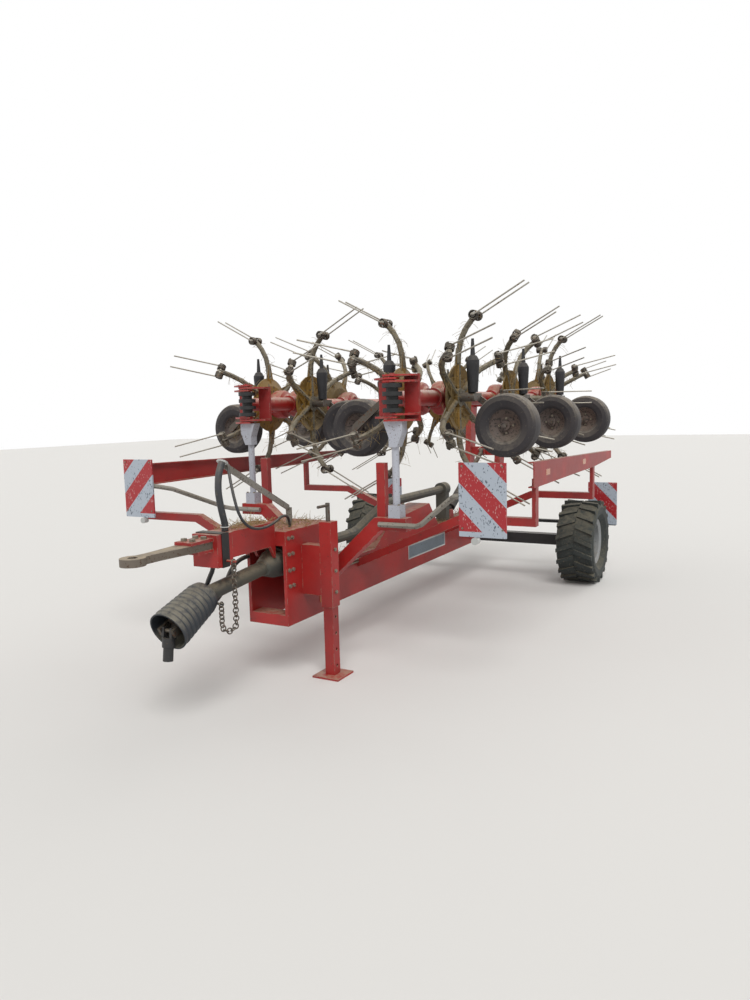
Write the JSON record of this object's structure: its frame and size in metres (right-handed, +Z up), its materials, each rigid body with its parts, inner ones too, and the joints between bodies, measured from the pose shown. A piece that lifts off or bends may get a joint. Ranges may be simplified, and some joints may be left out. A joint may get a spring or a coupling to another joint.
{
  "type": "folded trailed hay tedder",
  "caption": "Trailed hay tedder folded for the road: towed chassis on two wheels with a jack, and folded wings of tined rotors with gauge wheels",
  "frame": {"origin": "middle of the bounding box at the ground", "axes": "+Y runs to the machine's rear, +X to its own left, +Z up"},
  "size_m": [2.942, 5.7048, 2.4444],
  "materials": {
    "red_paint": "glossy, dusty",
    "white_paint": "chipped",
    "black_paint": "satin",
    "rotor_steel": "weathered ochre and grey",
    "bare_steel": "dull",
    "grey_paint": "matt",
    "tyre_rubber": "dusty",
    "gauge_tyre": "dusty",
    "rim_paint": "matt",
    "board_film": "retroreflective red and white",
    "guard_plastic": "ribbed",
    "black_rubber": "matt",
    "lamp_lens": "clear over red"
  },
  "bodies": {
    "chassis": {"main_beam": "red_paint", "gantry": "red_paint", "drawbar": "red_paint", "drawbar_eye": "bare_steel", "jack_tube": "red_paint", "jack_crank": "bare_steel", "axle_beam": "black_paint", "rest_arms": "red_paint", "rest_posts": "white_paint", "guard_rails": "red_paint", "front_boards": "board_film", "rear_boards": "board_film", "board_arms": "grey_paint", "light_bar": "black_paint", "driveline": "guard_plastic", "pto_guard": "guard_plastic", "hose_bracket": "grey_paint", "chain": "bare_steel", "hose_riser": "black_rubber", "hose_loop": "black_rubber", "hose_drop": "black_rubber", "lamps": "lamp_lens"},
    "jack_leg": {"jack_leg": "red_paint"},
    "pto_shaft": {"pto_shaft": "bare_steel"},
    "pto_yoke": {"pto_yoke": "bare_steel"},
    "road_wheel_left": {"road_rim_left": "rim_paint", "road_tyre_left": "tyre_rubber"},
    "road_wheel_right": {"road_rim_right": "rim_paint", "road_tyre_right": "tyre_rubber"},
    "rotor_unit": {"lift_frame": "red_paint", "centre_frame": "red_paint", "wing_frame_left": "red_paint", "wing_frame_right": "red_paint", "tip_frame_left": "red_paint", "tip_frame_right": "red_paint", "hinge_clutches": "black_paint", "gauge_legs": "bare_steel", "leg_boots": "black_rubber"},
    "lift_barrel": {"lift_barrel": "black_paint"},
    "lift_rod": {"lift_rod": "bare_steel"},
    "rotor_1": {"rotor_1": "rotor_steel"},
    "gauge_wheel_1": {"gauge_wheel_1": "gauge_tyre"},
    "rotor_2": {"rotor_2": "rotor_steel"},
    "gauge_wheel_2": {"gauge_wheel_2": "gauge_tyre"},
    "rotor_3": {"rotor_3": "rotor_steel"},
    "gauge_wheel_3": {"gauge_wheel_3": "gauge_tyre"},
    "rotor_4": {"rotor_4": "rotor_steel"},
    "gauge_wheel_4": {"gauge_wheel_4": "gauge_tyre"},
    "rotor_5": {"rotor_5": "rotor_steel"},
    "gauge_wheel_5": {"gauge_wheel_5": "gauge_tyre"},
    "rotor_6": {"rotor_6": "rotor_steel"},
    "gauge_wheel_6": {"gauge_wheel_6": "gauge_tyre"},
    "rotor_7": {"rotor_7": "rotor_steel"},
    "gauge_wheel_7": {"gauge_wheel_7": "gauge_tyre"},
    "rotor_8": {"rotor_8": "rotor_steel"},
    "gauge_wheel_8": {"gauge_wheel_8": "gauge_tyre"},
    "rotor_9": {"rotor_9": "rotor_steel"},
    "gauge_wheel_9": {"gauge_wheel_9": "gauge_tyre"},
    "rotor_10": {"rotor_10": "rotor_steel"},
    "gauge_wheel_10": {"gauge_wheel_10": "gauge_tyre"}
  },
  "joints": [
    {"name": "road_wheel_spin_left", "type": "hinge", "parent": "chassis", "child": "road_wheel_left", "pos_m": [1.13, 1.7475, 0.39], "axis": [1, 0, 0], "continuous": true},
    {"name": "road_wheel_spin_right", "type": "hinge", "parent": "chassis", "child": "road_wheel_right", "pos_m": [-1.13, 1.7475, 0.39], "axis": [1, 0, 0], "continuous": true},
    {"name": "jack_slide", "type": "slide", "parent": "chassis", "child": "jack_leg", "axis": [0, 0, 1], "range_m": [0, 0.3]},
    {"name": "pto_spin", "type": "hinge", "parent": "chassis", "child": "pto_shaft", "pos_m": [0, -2.2865, 0.665], "axis": [0, -0.9158, -0.4016], "continuous": true},
    {"name": "pto_yoke_swing", "type": "hinge", "parent": "pto_shaft", "child": "pto_yoke", "pos_m": [0, -2.5704, 0.5405], "axis": [1, 0, 0], "range_deg": [-80, 0]},
    {"name": "rotor_lift", "type": "hinge", "parent": "chassis", "child": "rotor_unit", "pos_m": [0, 2.0575, 0.75], "axis": [-1, 0, 0], "range_deg": [0, 8]},
    {"name": "lift_barrel_pivot", "type": "hinge", "parent": "chassis", "child": "lift_barrel", "pos_m": [0, 1.1275, 0.7], "axis": [-1, 0, 0], "range_deg": [0, 1.85]},
    {"name": "lift_rod_slide", "type": "slide", "parent": "lift_barrel", "child": "lift_rod", "axis": [0, 0.8685, 0.4956], "range_m": [0, 0.05703]},
    {"name": "rotor_1_spin", "type": "hinge", "parent": "rotor_unit", "child": "rotor_1", "pos_m": [0.79, -0.7525, 1.74], "axis": [1, 0, 0], "continuous": true},
    {"name": "rotor_2_spin", "type": "hinge", "parent": "rotor_unit", "child": "rotor_2", "pos_m": [0.79, 0.3075, 1.74], "axis": [1, 0, 0], "continuous": true},
    {"name": "rotor_3_spin", "type": "hinge", "parent": "rotor_unit", "child": "rotor_3", "pos_m": [0.79, 1.3675, 1.74], "axis": [1, 0, 0], "continuous": true},
    {"name": "rotor_4_spin", "type": "hinge", "parent": "rotor_unit", "child": "rotor_4", "pos_m": [0.61, -0.7525, 1.74], "axis": [-1, 0, 0], "continuous": true},
    {"name": "rotor_5_spin", "type": "hinge", "parent": "rotor_unit", "child": "rotor_5", "pos_m": [-0.79, -0.3925, 1.74], "axis": [-1, 0, 0], "continuous": true},
    {"name": "rotor_6_spin", "type": "hinge", "parent": "rotor_unit", "child": "rotor_6", "pos_m": [-0.79, 0.6675, 1.74], "axis": [-1, 0, 0], "continuous": true},
    {"name": "rotor_7_spin", "type": "hinge", "parent": "rotor_unit", "child": "rotor_7", "pos_m": [-0.79, 1.7275, 1.74], "axis": [-1, 0, 0], "continuous": true},
    {"name": "rotor_8_spin", "type": "hinge", "parent": "rotor_unit", "child": "rotor_8", "pos_m": [-0.61, -0.3925, 1.74], "axis": [1, 0, 0], "continuous": true},
    {"name": "rotor_9_spin", "type": "hinge", "parent": "rotor_unit", "child": "rotor_9", "pos_m": [0.53, 2.1975, 1.74], "axis": [0, 1, 0], "continuous": true},
    {"name": "rotor_10_spin", "type": "hinge", "parent": "rotor_unit", "child": "rotor_10", "pos_m": [-0.53, 2.1975, 1.74], "axis": [0, 1, 0], "continuous": true},
    {"name": "gauge_wheel_1_spin", "type": "hinge", "parent": "rotor_unit", "child": "gauge_wheel_1", "pos_m": [1.24, -0.7525, 1.55], "axis": [0, 1, 0], "continuous": true},
    {"name": "gauge_wheel_2_spin", "type": "hinge", "parent": "rotor_unit", "child": "gauge_wheel_2", "pos_m": [1.24, 0.3075, 1.55], "axis": [0, 1, 0], "continuous": true},
    {"name": "gauge_wheel_3_spin", "type": "hinge", "parent": "rotor_unit", "child": "gauge_wheel_3", "pos_m": [1.24, 1.3675, 1.55], "axis": [0, 1, 0], "continuous": true},
    {"name": "gauge_wheel_4_spin", "type": "hinge", "parent": "rotor_unit", "child": "gauge_wheel_4", "pos_m": [0.16, -0.7525, 1.55], "axis": [0, -1, 0], "continuous": true},
    {"name": "gauge_wheel_5_spin", "type": "hinge", "parent": "rotor_unit", "child": "gauge_wheel_5", "pos_m": [-1.24, -0.3925, 1.55], "axis": [0, -1, 0], "continuous": true},
    {"name": "gauge_wheel_6_spin", "type": "hinge", "parent": "rotor_unit", "child": "gauge_wheel_6", "pos_m": [-1.24, 0.6675, 1.55], "axis": [0, -1, 0], "continuous": true},
    {"name": "gauge_wheel_7_spin", "type": "hinge", "parent": "rotor_unit", "child": "gauge_wheel_7", "pos_m": [-1.24, 1.7275, 1.55], "axis": [0, -1, 0], "continuous": true},
    {"name": "gauge_wheel_8_spin", "type": "hinge", "parent": "rotor_unit", "child": "gauge_wheel_8", "pos_m": [-0.16, -0.3925, 1.55], "axis": [0, 1, 0], "continuous": true},
    {"name": "gauge_wheel_9_spin", "type": "hinge", "parent": "rotor_unit", "child": "gauge_wheel_9", "pos_m": [0.53, 2.6475, 1.55], "axis": [-1, 0, 0], "continuous": true},
    {"name": "gauge_wheel_10_spin", "type": "hinge", "parent": "rotor_unit", "child": "gauge_wheel_10", "pos_m": [-0.53, 2.6475, 1.55], "axis": [-1, 0, 0], "continuous": true}
  ],
  "couplings": [
    {"joint": "rotor_2_spin", "follows": "rotor_1_spin", "ratio": -1},
    {"joint": "rotor_3_spin", "follows": "rotor_1_spin", "ratio": 1},
    {"joint": "rotor_6_spin", "follows": "rotor_5_spin", "ratio": -1},
    {"joint": "rotor_7_spin", "follows": "rotor_5_spin", "ratio": 1},
    {"joint": "rotor_10_spin", "follows": "rotor_9_spin", "ratio": -1},
    {"joint": "lift_barrel_pivot", "follows": "rotor_lift", "ratio": 0.22868},
    {"joint": "lift_rod_slide", "follows": "rotor_lift", "m_per_rad": 0.40442}
  ]
}
